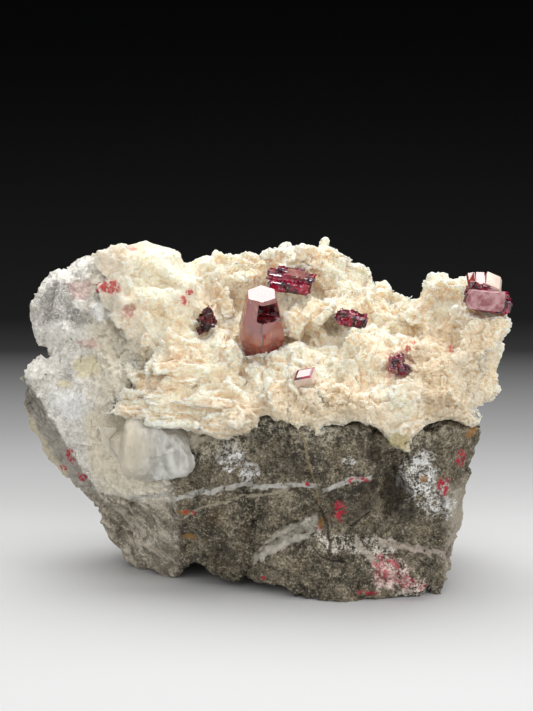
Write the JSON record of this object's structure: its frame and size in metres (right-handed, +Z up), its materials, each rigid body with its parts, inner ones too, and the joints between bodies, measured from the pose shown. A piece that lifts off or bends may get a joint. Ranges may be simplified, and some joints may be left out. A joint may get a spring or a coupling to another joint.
{
  "type": "cinnabar on dolomite mineral specimen",
  "caption": "Loose cabinet specimen: red cinnabar crystals set in a cream crust of dolomite plates on broken grey host rock with milky quartz.",
  "frame": {"origin": "on the surface the specimen rests on, under the middle of its bounding box", "axes": "+Z up as it rests, +X to the right and -Y towards a viewer of the display side, where the cinnabar crystals show"},
  "size_m": [0.0701, 0.0352, 0.0467],
  "materials": {
    "host_rock": "matt, fine-grained broken dolostone with pale veins, speckles and stains",
    "dolomite": "pearly, slightly translucent cream plates, darker tan between them",
    "quartz": "smooth milky translucent grey-white",
    "cinnabar": "deep red, adamantine, translucent at the edges, faces faintly striated"
  },
  "bodies": {
    "root": {"host_rock": "host_rock", "dolomite_crust": "dolomite", "milky_quartz": "quartz", "cinnabar_main": "cinnabar", "cinnabar_tabular": "cinnabar", "cinnabar_left": "cinnabar", "cinnabar_right": "cinnabar", "cinnabar_low_right": "cinnabar", "cinnabar_small": "cinnabar", "cinnabar_edge": "cinnabar"}
  },
  "joints": []
}
